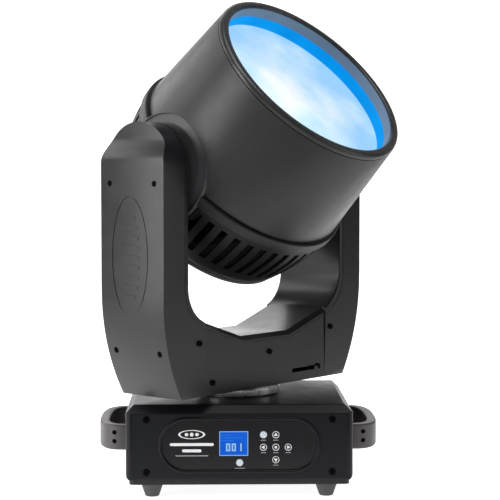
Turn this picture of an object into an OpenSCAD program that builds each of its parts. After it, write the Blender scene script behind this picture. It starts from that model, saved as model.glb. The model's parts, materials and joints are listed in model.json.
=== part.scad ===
// Moving head wash light: a base, a yoke that pans on it and a head that tilts in the yoke.
// Millimetres, +Z up. The origin is on the pan axis, at the underside of the base plate.
// The front of the base, with its display, faces -Y.

/* [Pose] */
// Turn of the yoke about the pan axis, anticlockwise from above
pan_deg = 48.6; // [-180:0.1:180]
// Height of the beam above the horizon
beam_deg = 42.7; // [-20:0.1:90]

/* [Base] */
// Width of the base
base_w = 270; // [260:1:300]
// Depth of the base
base_d = 225; // [225:1:250]
// Top of the base above the base plate
base_top = 95; // [92:1:110]
// Height of the feet below the base plate
foot_h = 15.5; // [10:0.5:25]
// Spacing of the clamp holes across the base
clamp_x = 106; // [100:1:110]
// Spacing of the clamp holes from front to back
clamp_y = 170; // [150:1:180]
// Radius of a clamp hole
clamp_r = 5.5; // [4:0.1:6]

/* [Yoke] */
// Height of the tilt axis above the base plate
tilt_z = 376.3; // [370:0.1:390]
// Half of the yoke's outer width
yoke_half = 188.6; // [187:0.1:192]
// Half of the clear width between the arms
yoke_gap = 145; // [144:0.1:146]
// Half of an arm's depth
arm_half = 50.1; // [48:0.1:54]

/* [Head] */
// Radius of the barrel at its rear edge
barrel_r = 141; // [140:0.1:142]
// Radius of the barrel at its front rim
rim_r = 129.5; // [126:0.1:131]
// Distance from the tilt axis to the front rim
rim_l = 159.2; // [150:0.1:160]
// Radius of the front opening
mouth_r = 118.8; // [116:0.1:120]
// Radius of the collar round the middle of the head
collar_r = 145.6; // [143:0.1:148]
// Radius of the round side pads
pad_r = 65; // [60:1:66]

/* [Hidden] */
$fn = 96;
wall = 3;
fine = 0.01;
far = 300;

// Base outline
bx = base_w / 2;
by = base_d / 2;
skirt_z = 4.8;
top_bevel = 9.5;
seam_y = by - 14.5;
foot_x = 104;
foot_y = by - 18;
plate_gap = 4;

// Control panel, with heights above the base plate
panel_z = 47.7;
panel_half_h = 33.9;
panel_half_w = 96.5;
bead_w = 4.5;
panel_front = by - 1.5;
panel_back = by - 5;
button_r = 4.2;
button_gap = 0.4;
// Centre of each button across and up
mode_at = [28.4, 60];
up_at = [43, 60];
left_at = [28.4, 45.1];
enter_at = [43, 45.1];
right_at = [57.7, 45.1];
down_at = [43, 30.2];
light_at = [0.3, 26.7];
button_places = [mode_at, up_at, left_at, enter_at, right_at, down_at, light_at];
display_w = 34.5;
display_h = 29.5;
display_at = [-6.8, 49.4];
panel_screws = [[110, 78.5], [110, 15.8]];
screw_head_r = 3.6;
screw_r = 2;

// Side handles: a D-shaped band seen from above
handle_out = 36;
handle_long = 78;
handle_thick = 12;
handle_z = 36;
handle_h = 30.5;
handle_screw_x = 150;

// Rear sockets across and up the rear cover
socket_z = 56;
power_x = [-104, -66];
data_x = [66, 104];
socket_r = 12.5;

// Pan drive
spindle_r = 44;
spindle_bore = 36;
turret_r = 52;
yoke_z = 106.5;
pan_pulley_r = 52;
pan_drive_r = 10;
pan_drive_y = 72;
pan_pulley_z = 62;
pulley_h = 12;
belt_t = 2;
belt_gap = 0.35;
fit = 0.05;

// Yoke outline seen from the front
belly_r = 232;
belly_z = 226;
shoulder_z = [384, 411];
shoulder_in = 11;
arm_top = tilt_z + 52.8;
arch_z = arm_top - arm_half;
seam_x = 116.5;
corner_r = 46;
corner_x = 99;
corner_z = 238;
corner_end = 72;
bridge_z = 172;
bridge_flat = 45;
bridge_half = 47.2;
cover_t = 3;
cover_sink = 2.2;
hub_hole_r = 39;
cover_screws = [[35.5, 357.5], [35, 161.5]];
front_screws = [[126.5, 170.5], [102, 121.5]];
mid_screw = [4.5, 149.1];
frame_x = yoke_gap + wall;
frame_t = 4;
frame_half = 32;
frame_z = yoke_z + wall;
bearing_out = 26;
shaft_r = 18;

// Tilt drive, in the left arm
drive_z = 144;
tilt_pulley_r = 40;
tilt_drive_r = 9;
pulley_x = 155;
tilt_pulley_w = 9;

// Lock levers
lock_z = 120.5;
lock_slot = [50, 99];
lock_slot_h = 5;
lock_travel = 34;
tilt_lock_x = 164;
tilt_lock_z = 300;
tilt_lock_travel = 25;

// Head, along the beam from the tilt axis
pad_x = 132;
collar_l = [4.4, 17.9];
bezel_l = 152;
rear_l = -77.8;
rear_r = 123.4;
belly_l = -55;
belly_head_r = 132;
lens_l = 121.6;
lens_t = 6;
ring_l = [128.2, 143];
slot_pitch = 7.5;
slot_reach = 8;
slot_w = 8;
slot_l = [-57, -2.5];
rod_ring = 80;
rod_r = 3;
carriage_l = 42;
carriage_t = 5;
screw_rod_r = 4;
sink_half = 54;
fan_half = 58;
fan_r = 54;
fan_l = -76.5;
blade_count = 7;
hub_flange_r = 36;

// Points along an arc
function arc(cx, cy, r, from, to, steps) =
    [for (i = [0:steps]) let (a = from + (to - from) * i / steps) [cx + r * cos(a), cy + r * sin(a)]];
// Half-width of the yoke at a height on its curved side
function side_x(z) = yoke_half - (z < belly_z ? belly_r - sqrt(pow(belly_r, 2) - pow(belly_z - z, 2)) : 0);
// Radius of the tapering barrel at a distance along the beam
function barrel_at(l) = barrel_r + (rim_r - barrel_r) * (l - collar_l[1]) / (rim_l - collar_l[1]);
// Points of a D-shaped curve that bulges by a, b to each side
function d_curve(a, b, steps) = [for (i = [0:steps]) let (t = -90 + 180 * i / steps, s = sin(t), c = cos(t))
    [a * pow(abs(c), 2 / 3), b * sign(s) * pow(abs(s), 2 / 3)]];

// Extrudes an outline of X and Z through the depth, centred on Y = 0
module through_y(depth) { rotate([90, 0, 0]) linear_extrude(depth, center = true) children(); }
// Extrudes an outline of Y and Z along +X
module along_x(length) { rotate([90, 0, 90]) linear_extrude(length) children(); }
// A cylinder that runs along +X
module rod_x(r, length) { rotate([0, 90, 0]) cylinder(r = r, h = length); }
// A cylinder that runs along +Y
module rod_y(r, length) { rotate([-90, 0, 0]) cylinder(r = r, h = length); }
module mirror_copy(v) { children(); mirror(v) children(); }
module on_yoke() { rotate([0, 0, pan_deg]) children(); }
module on_head() { on_yoke() translate([0, 0, tilt_z]) rotate([90 - beam_deg, 0, 0]) children(); }

module rounded_rect(x, y, r) {
    square([2 * x, 2 * y - 2 * r], center = true);
    square([2 * x - 2 * r, 2 * y], center = true);
    for (sx = [-1, 1], sy = [-1, 1]) translate([sx * (x - r), sy * (y - r)]) circle(r = r);
}

// A long hole with round ends, lying along the first axis
module obround(half_w, half_h) {
    square([2 * (half_w - half_h), 2 * half_h], center = true);
    for (s = [-1, 1]) translate([s * (half_w - half_h), 0]) circle(r = half_h);
}

// Outline of a flat belt round two pulleys, the second at a distance along the second axis
module belt_outline(r1, r2, distance) {
    lean = asin((r1 - r2) / distance);
    polygon(concat(arc(0, 0, r1, 180 - lean, 360 + lean, 36), arc(0, distance, r2, lean, 180 - lean, 16)));
}

module belt(r1, r2, distance, h) {
    linear_extrude(h) difference() {
        belt_outline(r1 + belt_gap + belt_t, r2 + belt_gap + belt_t, distance);
        belt_outline(r1 + belt_gap, r2 + belt_gap, distance);
    }
}

module toothed_pulley(r, bore, h) {
    difference() {
        cylinder(r = r, h = h);
        translate([0, 0, -1]) cylinder(r = bore, h = h + 2);
    }
}

// A stepper motor: square body under its mounting face at z = 0, with its shaft up
module stepper(half, body_h, shaft, shaft_h) {
    difference() {
        translate([-half, -half, -body_h]) cube([2 * half, 2 * half, body_h]);
        for (a = [45:90:315]) rotate([0, 0, a]) translate([half * sqrt(2) - 1.5, 0, -body_h / 2])
            cube([4, 12, body_h + 2], center = true);
    }
    cylinder(r = half * 0.65, h = 1.6);
    cylinder(r = shaft, h = shaft_h);
}

// ---------------------------------------------------------------- base
module base_side(inset, top) {
    low = inset > 0 ? -10 : skirt_z;
    bevel = top_bevel - inset * 0.4;
    polygon([[-bx + inset, low], [bx - inset, low], [bx - inset, top - bevel], [bx - inset - bevel, top],
        [-bx + inset + bevel, top], [-bx + inset, top - bevel]]);
}

module base_block(inset, top) {
    bevel = top_bevel - inset * 0.4;
    low = inset > 0 ? -10 : skirt_z;
    intersection() {
        through_y(2 * by) base_side(inset, top);
        translate([-bx, 0, 0]) along_x(2 * bx) polygon([[-by + inset, low], [by - inset, low],
            [by - inset, top - bevel], [by - inset - bevel, top], [-by + inset + bevel, top],
            [-by + inset, top - bevel]]);
        translate([0, 0, -20]) linear_extrude(top + 30) rounded_rect(bx - inset, by - inset, 8 - inset);
    }
}

module base_skin() {
    difference() {
        base_block(0, base_top);
        base_block(wall, base_top - wall);
    }
}

module slab_y(from, to) { translate([-far, from, -far]) cube([2 * far, to - from, 2 * far]); }

module base_plate() {
    px = bx - plate_gap;
    py = by - plate_gap;
    color("dimgray") difference() {
        union() {
            linear_extrude(wall) rounded_rect(px, py, 6);
            linear_extrude(12) difference() {
                rounded_rect(px, py, 6);
                rounded_rect(px - 1.5, py - 1.5, 4.5);
            }
            translate([-16, py - 16, -13]) cube([32, wall, 14]);
        }
        for (x = [-1, 1], y = [-1, 1]) translate([x * clamp_x / 2, y * clamp_y / 2, -1])
            cylinder(r = clamp_r, h = wall + 2);
        translate([0, py - 17, -6.5]) rod_y(5, wall + 2);
    }
}

module base_shell() {
    color([0.12, 0.12, 0.13]) difference() {
        intersection() {
            base_skin();
            slab_y(-seam_y, seam_y);
        }
        translate([0, 0, base_top - 10]) cylinder(r = spindle_r + 3, h = 20);
    }
}

module front_cover() {
    color([0.1, 0.1, 0.11]) difference() {
        union() {
            intersection() {
                base_skin();
                slab_y(-by - 1, -seam_y);
            }
            translate([0, -by, panel_z]) rotate([90, 0, 0]) linear_extrude(2)
                obround(panel_half_w, panel_half_h);
        }
        translate([0, -by, panel_z]) through_y(20)
            obround(panel_half_w - bead_w, panel_half_h - bead_w);
        for (s = [-1, 1], p = panel_screws) translate([s * p[0], -by - 1, p[1]]) {
            rod_y(screw_r + 0.2, 10);
            rod_y(4.7, 2.2);
        }
    }
}

module rear_cover() {
    color([0.1, 0.1, 0.11]) difference() {
        intersection() {
            base_skin();
            slab_y(seam_y, by + 1);
        }
        for (x = concat(power_x, data_x)) translate([x, by - 10, socket_z]) rod_y(socket_r + 0.3, 20);
        for (s = [-1, 1], p = panel_screws) translate([s * p[0], by - 10, p[1]]) rod_y(screw_r + 0.2, 20);
    }
}

module control_panel() {
    half_w = panel_half_w - bead_w;
    half_h = panel_half_h - bead_w;
    color([0.03, 0.03, 0.035]) difference() {
        union() {
            translate([0, -by + wall, panel_z]) rotate([90, 0, 0]) linear_extrude(wall - 1.5)
                obround(half_w - 0.2, half_h - 0.2);
            translate([0, -panel_back, panel_z]) rotate([90, 0, 0])
                linear_extrude(by - wall - panel_back) obround(half_w + 3, half_h + 3);
        }
        for (p = button_places) translate([p[0], -by, p[1]]) rod_y(button_r + button_gap, 12);
        translate([display_at[0], -by + 6, display_at[1]])
            cube([display_w, 20, display_h], center = true);
    }
}

module display() {
    color([0.1, 0.4, 0.95]) {
        translate([display_at[0], -panel_back - 1.5, display_at[1]])
            cube([display_w - 0.2, 3, display_h - 0.2], center = true);
        translate([display_at[0] - 20, -panel_back, display_at[1] - 16.4]) cube([40, 6.5, 34]);
    }
}

module display_board() {
    board_y = -panel_back + 6.5;
    color("darkgreen") {
        translate([-75, board_y, 18]) cube([150, 1.6, 58]);
        for (p = button_places) translate([p[0], board_y - 2, p[1]]) rod_y(2.5, 2);
    }
}

// A sprung push button: cap through the panel, a flange behind it and a stem to its switch
module push_button(place) {
    translate([place[0], 0, place[1]]) {
        translate([0, -by + 0.2, 0]) rod_y(button_r, by - panel_back + 0.3);
        translate([0, -panel_back + 0.4, 0]) rod_y(5.1, 1.5);
        translate([0, -panel_back + 1.9, 0]) rod_y(2, 0.9);
    }
}

module mode_button() { color("white") push_button(mode_at); }
module up_button() { color("black") push_button(up_at); }
module left_button() { color("black") push_button(left_at); }
module enter_button() { color("black") push_button(enter_at); }
module right_button() { color("black") push_button(right_at); }
module down_button() { color("black") push_button(down_at); }
module display_button() { color("white") push_button(light_at); }

module rubber_feet() {
    color([0.16, 0.16, 0.17]) for (x = [-1, 1], y = [-1, 1])
        translate([x * foot_x, y * foot_y, -foot_h]) cylinder(r1 = 8.7, r2 = 13.7, h = foot_h);
}

module handle() {
    difference() {
        translate([bx, 0, handle_z]) linear_extrude(handle_h) difference() {
            polygon(d_curve(handle_out, handle_long, 48));
            polygon(d_curve(handle_out - handle_thick, handle_long - handle_thick, 48));
        }
        for (s = [-1, 1], z = [0.35, 0.7])
            translate([handle_screw_x, s * 72, handle_z + z * handle_h]) rotate([-90 * s, 0, 0])
                cylinder(r = screw_r + 0.8, h = 20);
    }
}

module handle_right() { color([0.3, 0.28, 0.28]) handle(); }
module handle_left() { color([0.3, 0.28, 0.28]) mirror([1, 0, 0]) handle(); }

// A cross-head screw whose head lies at the origin and whose shank runs along +Y
module machine_screw(length) {
    difference() {
        union() {
            translate([0, -2, 0]) rod_y(screw_head_r, 2);
            rod_y(screw_r, length);
        }
        for (turn = [0, 90]) rotate([0, turn, 0]) translate([0, -2, 0]) cube([4, 1.6, 0.8], center = true);
    }
}

module base_screws() {
    color([0.2, 0.2, 0.21]) for (s = [-1, 1]) {
        for (p = panel_screws) {
            translate([s * p[0], -by + 1.2, p[1]]) machine_screw(12);
            translate([s * p[0], by, p[1]]) rotate([0, 0, 180]) machine_screw(12);
        }
        for (t = [-1, 1], z = [0.35, 0.7])
            translate([s * handle_screw_x, t * 72, handle_z + z * handle_h]) rotate([-90 * t, 0, 0])
                cylinder(r = screw_r + 0.8, h = 2);
    }
}

module power_supply() {
    color("silver") difference() {
        translate([-122, -85, wall]) cube([54, 150, 44]);
        for (i = [0:7]) translate([-116 + 6 * i, -60, wall + 42]) cube([2, 100, 4]);
    }
}

module main_board() {
    color("darkgreen") {
        translate([68, -85, 11]) cube([54, 150, 1.6]);
        for (x = [73, 117], y = [-79, 59]) translate([x, y, wall]) cylinder(r = 3, h = 8);
        translate([78, -60, 12.6]) cube([30, 30, 4]);
        translate([78, -10, 12.6]) cube([22, 40, 12]);
        for (i = [0:3]) translate([112, -50 + 18 * i, 12.6]) cylinder(r = 5, h = 16);
    }
}

module pan_motor() {
    color([0.25, 0.25, 0.27]) translate([0, pan_drive_y, 58]) stepper(28, 50, 3.17, 20);
}

module pan_motor_pulley() {
    color("silver") translate([0, pan_drive_y, pan_pulley_z]) {
        toothed_pulley(pan_drive_r, 3.17 + fit, pulley_h);
        for (z = [-1.2, pulley_h]) translate([0, 0, z]) toothed_pulley(pan_drive_r + 2, 3.17 + fit, 1.2);
    }
}

module pan_belt() {
    color([0.05, 0.05, 0.05]) translate([0, 0, pan_pulley_z + 1])
        belt(pan_pulley_r, pan_drive_r, pan_drive_y, pulley_h - 2);
}

module pan_bearing() {
    color("lightsteelblue") translate([0, 0, base_top - wall - 12])
        toothed_pulley(spindle_r + 13, spindle_r + fit, 12);
}

// A round chassis socket on the rear cover, open towards +Y
module chassis_socket(bore) {
    difference() {
        union() {
            translate([-13, 0, -15.5]) cube([26, 2.5, 31]);
            translate([0, -24, 0]) rod_y(socket_r, 24);
        }
        translate([0, -20, 0]) rod_y(bore, 30);
    }
}

module power_sockets() {
    color([0.15, 0.2, 0.5]) for (x = power_x) translate([x, by, socket_z]) {
        chassis_socket(10.5);
        for (a = [0:120:240]) rotate([0, a, 0]) translate([0, -21, 6]) rod_y(1.2, 13);
    }
}

module data_sockets() {
    color([0.55, 0.55, 0.57]) for (x = data_x) translate([x, by, socket_z]) {
        chassis_socket(9.5);
        for (a = [0:72:288]) rotate([0, a, 0]) translate([0, -21, 5]) rod_y(0.9, 13);
    }
}

// ---------------------------------------------------------------- yoke
module yoke_turret() {
    color([0.15, 0.15, 0.16]) on_yoke() difference() {
        union() {
            translate([0, 0, 58]) cylinder(r = spindle_r, h = 42);
            translate([0, 0, base_top + 1.5]) cylinder(r = turret_r, h = yoke_z - base_top - 1.5);
            translate([0, 0, yoke_z - 1]) cylinder(r = 40, h = wall + 1);
        }
        translate([0, 0, 50]) cylinder(r = spindle_bore, h = 80);
    }
}

module pan_pulley() {
    color("silver") on_yoke() translate([0, 0, pan_pulley_z])
        toothed_pulley(pan_pulley_r, spindle_r, pulley_h);
}

module yoke_frame() {
    color([0.6, 0.6, 0.62]) on_yoke() difference() {
        union() {
            translate([-frame_x - frame_t, -frame_half, frame_z])
                cube([2 * (frame_x + frame_t), 2 * frame_half, frame_t]);
            mirror_copy([1, 0, 0]) translate([frame_x, 0, 0]) {
                translate([0, -frame_half, frame_z]) cube([frame_t, 2 * frame_half, tilt_z - frame_z]);
                translate([0, 0, tilt_z]) rod_x(frame_half, frame_t);
            }
        }
        translate([-far, 0, tilt_z]) rod_x(bearing_out, 2 * far);
        translate([0, 0, frame_z - 1]) cylinder(r = spindle_bore - 12, h = frame_t + 2);
        translate([-far, 0, drive_z]) rod_x(20, far);
    }
}

// Outline of the right arm in X and Z, moved in by shift, or with its walls inset
module arm_outline(shift, inset, reach) {
    low = yoke_z + inset - reach;
    high = arm_top - inset + reach;
    start = -acos((seam_x - corner_x) / corner_r);
    polygon(concat([[seam_x, low]],
        [for (i = [0:12]) let (z = low + (belly_z - low) * i / 12) [side_x(z) - shift, z]],
        [for (t = [0:0.125:1]) [yoke_half - shift - shoulder_in * t * t * (3 - 2 * t),
            shoulder_z[0] + t * (shoulder_z[1] - shoulder_z[0])]],
        [[yoke_half - shift - shoulder_in, high], [yoke_gap + inset, high]],
        arc(corner_x, corner_z, corner_r + inset, 0, start, 10)));
}

module arm_side(inset) {
    low = yoke_z + inset;
    translate([0, arch_z]) circle(r = arm_half - inset);
    polygon([[-bridge_half + inset, low], [bridge_half - inset, low], [arm_half - inset, 240],
        [arm_half - inset, arch_z], [-arm_half + inset, arch_z], [-arm_half + inset, 240]]);
}

module arm_block() {
    intersection() {
        through_y(2 * arm_half + 10) arm_outline(0, 0, 0);
        translate([seam_x - 1, 0, 0]) along_x(100) arm_side(0);
    }
}

module arm_shell() {
    seam_top = corner_z - sqrt(pow(corner_r + wall, 2) - pow(seam_x - corner_x, 2));
    difference() {
        intersection() {
            arm_block();
            through_y(2 * arm_half + 20) arm_outline(cover_t, 0, 5);
        }
        intersection() {
            through_y(2 * arm_half + 10) union() {
                arm_outline(0, wall, 0);
                translate([seam_x - 5, yoke_z + wall]) square([6.5, seam_top - yoke_z - wall]);
            }
            translate([seam_x - 10, 0, 0]) along_x(120) arm_side(wall);
        }
        translate([yoke_gap - 5, 0, tilt_z]) rod_x(hub_hole_r, 12);
        for (s = [-1, 1]) translate([front_screws[0][0], s * (arm_half + 5), front_screws[0][1]])
            rotate([90 * s, 0, 0]) cylinder(r = screw_r + 0.2, h = 12);
    }
}

module arm_cover() {
    difference() {
        arm_block();
        through_y(2 * arm_half + 20) arm_outline(cover_t, 0, 5);
        for (s = [-1, 1], p = cover_screws) translate([side_x(p[1]) - cover_sink, s * p[0], p[1]]) {
            rod_x(screw_head_r + 0.2, 20);
            translate([-20, 0, 0]) rod_x(screw_r + 0.2, 30);
        }
    }
}

module arm_shell_right() {
    color([0.13, 0.13, 0.14]) on_yoke() difference() {
        arm_shell();
        translate([tilt_lock_x - 2.5, arm_half - 6, tilt_lock_z - 3]) cube([5, 12, tilt_lock_travel + 14]);
    }
}
module arm_shell_left() { color([0.13, 0.13, 0.14]) on_yoke() mirror([1, 0, 0]) arm_shell(); }
module arm_cover_right() { color([0.22, 0.22, 0.23]) on_yoke() arm_cover(); }
module arm_cover_left() { color([0.22, 0.22, 0.23]) on_yoke() mirror([1, 0, 0]) arm_cover(); }

module bridge_outline(drop, lift) {
    start = -acos((seam_x - corner_x) / corner_r);
    right = concat([[seam_x, yoke_z + lift]], [for (p = arc(corner_x, corner_z, corner_r, start, -corner_end, 2))
        [p[0], p[1] - drop]], [[bridge_flat, bridge_z - drop]]);
    left = [for (i = [len(right) - 1:-1:0]) [-right[i][0], right[i][1]]];
    polygon(concat(right, left));
}

module bridge_cover() {
    difference() {
        through_y(2 * bridge_half) bridge_outline(0, 0);
        through_y(2 * (bridge_half - wall)) union() {
            bridge_outline(wall, wall);
            for (s = [-1, 1]) translate([s * (seam_x - 1), yoke_z + wall + 35]) square([4, 70], center = true);
        }
        translate([0, 0, yoke_z - 1]) cylinder(r = 41, h = wall + 2);
        translate([-far, 0, -far]) cube([2 * far, far, 2 * far]);
        translate([mid_screw[0], -bridge_half - 5, mid_screw[1]]) rod_y(screw_r + 0.2, 10);
        for (s = [-1, 1]) translate([s * front_screws[1][0], -bridge_half - 5, front_screws[1][1]])
            rod_y(screw_r + 0.2, 10);
    }
}

module bridge_front_cover() {
    color([0.14, 0.14, 0.15]) on_yoke() difference() {
        bridge_cover();
        translate([lock_slot[0], -bridge_half - 1, lock_z - lock_slot_h / 2])
            cube([lock_slot[1] - lock_slot[0], 6, lock_slot_h]);
    }
}

module bridge_rear_cover() { color([0.14, 0.14, 0.15]) on_yoke() mirror([0, 1, 0]) bridge_cover(); }

module yoke_screws() {
    color([0.2, 0.2, 0.21]) on_yoke() {
        for (m = [-1, 1], s = [-1, 1], p = cover_screws)
            translate([m * (side_x(p[1]) - cover_sink), s * p[0], p[1]]) rotate([0, 0, m * 90]) machine_screw(12);
        mirror_copy([0, 1, 0]) {
            translate([mid_screw[0], -bridge_half, mid_screw[1]]) machine_screw(10);
            for (s = [-1, 1]) {
                translate([s * front_screws[1][0], -bridge_half, front_screws[1][1]]) machine_screw(10);
                translate([s * front_screws[0][0], -bridge_half - 1.5, front_screws[0][1]]) machine_screw(10);
            }
        }
    }
}

module tilt_motor() {
    color([0.25, 0.25, 0.27]) on_yoke() translate([-frame_x, 0, drive_z]) rotate([0, -90, 0])
        stepper(27, 48, 3.17, 16);
}

module tilt_motor_pulley() {
    color("silver") on_yoke() translate([-pulley_x, 0, drive_z]) rotate([0, -90, 0])
        toothed_pulley(tilt_drive_r, 3.17 + fit, tilt_pulley_w);
}

module tilt_belt() {
    color([0.05, 0.05, 0.05]) on_yoke() translate([-pulley_x - 1, 0, tilt_z]) rotate([0, -90, 0])
        rotate([0, 0, 90]) belt(tilt_pulley_r, tilt_drive_r, tilt_z - drive_z, tilt_pulley_w - 2);
}

module tilt_bearings() {
    color("lightsteelblue") on_yoke() mirror_copy([1, 0, 0]) translate([frame_x - 1, 0, tilt_z])
        rotate([0, 90, 0]) toothed_pulley(bearing_out, shaft_r + fit, frame_t + 3);
}

module pan_lock() {
    color([0.08, 0.08, 0.08]) on_yoke() translate([lock_slot[1] - 10, -bridge_half, lock_z]) {
        translate([0, -5, -1.9]) cube([7, 9, 3.8]);
        translate([-4, wall + 0.6, -5]) cube([12, 2, 10]);
    }
}

module tilt_lock() {
    color([0.08, 0.08, 0.08]) on_yoke() translate([tilt_lock_x, arm_half, tilt_lock_z]) {
        translate([-1.9, -4.4, 0]) cube([3.8, 9.4, 8]);
        translate([-5, -wall - 2.6, -4]) cube([10, 2, 16]);
    }
}

// ---------------------------------------------------------------- head
// The room that the round side pads take out of the head's skins
module pad_room(r, from) {
    mirror_copy([1, 0, 0]) translate([from, 0, 0]) rod_x(r, 60);
}

module head_frame() {
    color([0.13, 0.13, 0.14]) on_head() difference() {
        union() {
            rotate_extrude() polygon([[139, collar_l[0]], [collar_r - 1, collar_l[0]], [collar_r, collar_l[0] + 1],
                [collar_r, collar_l[1] - 1], [collar_r - 1, collar_l[1]], [139, collar_l[1]]]);
            difference() {
                cylinder(r = 139.5, h = collar_l[0] + 1);
                translate([0, 0, -1]) cylinder(r = 46, h = 20);
            }
            intersection() {
                mirror_copy([1, 0, 0]) translate([104, 0, 0]) rotate([0, 90, 0]) difference() {
                    cylinder(r = pad_r, h = pad_x - 104);
                    translate([0, 0, -1]) cylinder(r = pad_r - wall, h = pad_x - 104 - wall);
                }
                translate([0, 0, -pad_r - 1]) cylinder(r = 147, h = 2 * pad_r + 2);
            }
        }
        mirror_copy([1, 0, 0]) translate([pad_x, 0, 0]) rod_x(pad_r + 1, 60);
        translate([0, 0, -1]) for (a = [0:120:240]) rotate([0, 0, a + 90]) translate([rod_ring, 0, 0])
            cylinder(r = rod_r, h = 20);
        translate([0, -rod_ring, -1]) cylinder(r = screw_rod_r + 0.5, h = 20);
    }
}

module barrel() {
    front = barrel_at(bezel_l);
    color([0.12, 0.12, 0.13]) on_head() difference() {
        rotate_extrude() polygon([[barrel_r - wall, 18.4], [barrel_r, 18.4], [front, bezel_l],
            [front - wall, bezel_l], [barrel_at(lens_l) - wall, lens_l], [113, lens_l], [113, 118],
            [barrel_at(118) - wall, 118]]);
        pad_room(pad_r + 0.5, 90);
    }
}

module front_bezel() {
    color([0.12, 0.12, 0.13]) on_head() rotate_extrude() polygon(concat(
        [[mouth_r, ring_l[1] + 0.2]],
        arc(mouth_r + 3, rim_l - 3, 3, 180, 90, 6), arc(rim_r - 4, rim_l - 4, 4, 90, 0, 8),
        [[barrel_at(bezel_l), bezel_l + 0.3], [123, bezel_l + 0.3], [123, ring_l[1] + 0.2]]));
}

module light_ring() {
    color([0.1, 0.55, 1]) on_head() rotate_extrude() polygon([[mouth_r + 0.4, ring_l[0]],
        [125.5, ring_l[0]], [125.5, ring_l[1]], [mouth_r + 0.4, ring_l[1]]]);
}

module fresnel_lens() {
    color([0.7, 0.85, 1, 0.6]) on_head() translate([0, 0, lens_l]) cylinder(r = 126, h = lens_t);
}

module zoom_carriage() {
    color([0.55, 0.55, 0.57]) on_head() translate([0, 0, carriage_l]) difference() {
        union() {
            cylinder(r = 90, h = carriage_t);
            cylinder(r = 36, h = 18);
            for (a = [0:120:240]) rotate([0, 0, a + 90]) translate([rod_ring, 0, -4])
                cylinder(r = 7, h = 13);
        }
        translate([0, 0, -1]) cylinder(r = 30, h = 30);
        for (a = [0:120:240]) rotate([0, 0, a + 90]) translate([rod_ring, 0, -10])
            cylinder(r = rod_r + fit, h = 40);
        translate([0, -rod_ring, -10]) cylinder(r = screw_rod_r + fit, h = 40);
        for (a = [0:120:240]) rotate([0, 0, a + 30]) translate([60, 0, -1]) cylinder(r = 15, h = 20);
    }
}

module zoom_lens() {
    color([0.8, 0.9, 1, 0.5]) on_head() translate([0, 0, carriage_l + 6]) cylinder(r = 30, h = 10);
}

module guide_rods() {
    color("silver") on_head() for (a = [0:120:240]) rotate([0, 0, a + 90])
        translate([rod_ring, 0, 0]) cylinder(r = rod_r, h = 116);
}

module zoom_screw() {
    color("silver") on_head() translate([0, -rod_ring, 0.5]) cylinder(r = screw_rod_r, h = 115);
}

module zoom_motor() {
    color([0.25, 0.25, 0.27]) on_head() translate([0, -rod_ring, 0]) {
        translate([-21, -21, -30]) cube([42, 42, 30]);
    }
}

module led_engine() {
    color("gold") on_head() {
        cylinder(r = 44, h = 5);
        translate([0, 0, 5]) cylinder(r = 22, h = 6);
    }
}

module heat_sink() {
    color("lightgray") on_head() {
        translate([-sink_half, -sink_half, -6]) cube([2 * sink_half, 2 * sink_half, 6]);
        for (i = [0:12]) translate([-sink_half + 8.83 * i, -sink_half, -61]) cube([2, 2 * sink_half, 56]);
    }
}

module rear_basket() {
    color([0.13, 0.13, 0.14]) on_head() difference() {
        rotate_extrude() polygon([[143, collar_l[0]], [143, 0], [140.5, -25], [belly_head_r, belly_l],
            [rear_r + 3.5, -72], [rear_r, rear_l], [rear_r - wall - 1, rear_l], [rear_r, -71],
            [belly_head_r - wall, belly_l], [137.5, -25], [140, 0], [140, collar_l[0]]]);
        for (side = [-90, 90], i = [-slot_reach:slot_reach]) rotate([0, 0, side + i * slot_pitch])
            translate([120, -slot_w / 2, slot_l[0]]) cube([40, slot_w, slot_l[1] - slot_l[0]]);
        pad_room(pad_r + 0.5, 90);
    }
}

module rear_cap() {
    color([0.35, 0.35, 0.36]) on_head() translate([0, 0, rear_l - 3.5]) difference() {
        cylinder(r = rear_r - 1, h = 3.5);
        difference() {
            translate([0, 0, -1]) cylinder(r = fan_r, h = 6);
            for (r = [14, 27, 40]) difference() {
                translate([0, 0, -1]) cylinder(r = r + 1.2, h = 6);
                translate([0, 0, -2]) cylinder(r = r == 14 ? 0.01 : r - 1.2, h = 8);
            }
            for (a = [0:45:135]) rotate([0, 0, a]) translate([-60, -1.2, -1]) cube([120, 2.4, 6]);
        }
    }
}

module fan_frame() {
    color([0.08, 0.08, 0.08]) on_head() translate([0, 0, fan_l]) difference() {
        translate([-fan_half, -fan_half, 0]) cube([2 * fan_half, 2 * fan_half, 14]);
        difference() {
            translate([0, 0, -1]) cylinder(r = fan_r + 1.5, h = 16);
            cylinder(r = 18, h = 2);
            for (a = [45:90:315]) rotate([0, 0, a]) translate([0, -2, 0]) cube([60, 4, 2]);
        }
    }
}

module fan_rotor() {
    color([0.15, 0.15, 0.16]) on_head() translate([0, 0, fan_l + 3]) {
        cylinder(r = 17, h = 10);
        for (a = [0:360 / blade_count:359]) rotate([0, 0, a]) translate([15, 0, 5])
            rotate([35, 0, 0]) translate([0, -7, -0.8]) cube([37, 14, 1.6]);
    }
}

module tilt_hubs() {
    color([0.5, 0.5, 0.52]) on_head() mirror_copy([1, 0, 0]) translate([pad_x, 0, 0]) rotate([0, 90, 0])
        difference() {
            union() {
                cylinder(r = hub_flange_r, h = 9);
                cylinder(r = shaft_r, h = 36);
            }
            translate([0, 0, -1]) cylinder(r = 12, h = 60);
        }
}

module tilt_pulley() {
    color("silver") on_head() translate([-pulley_x, 0, 0]) rotate([0, -90, 0])
        toothed_pulley(tilt_pulley_r, shaft_r + fit, tilt_pulley_w);
}

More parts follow.
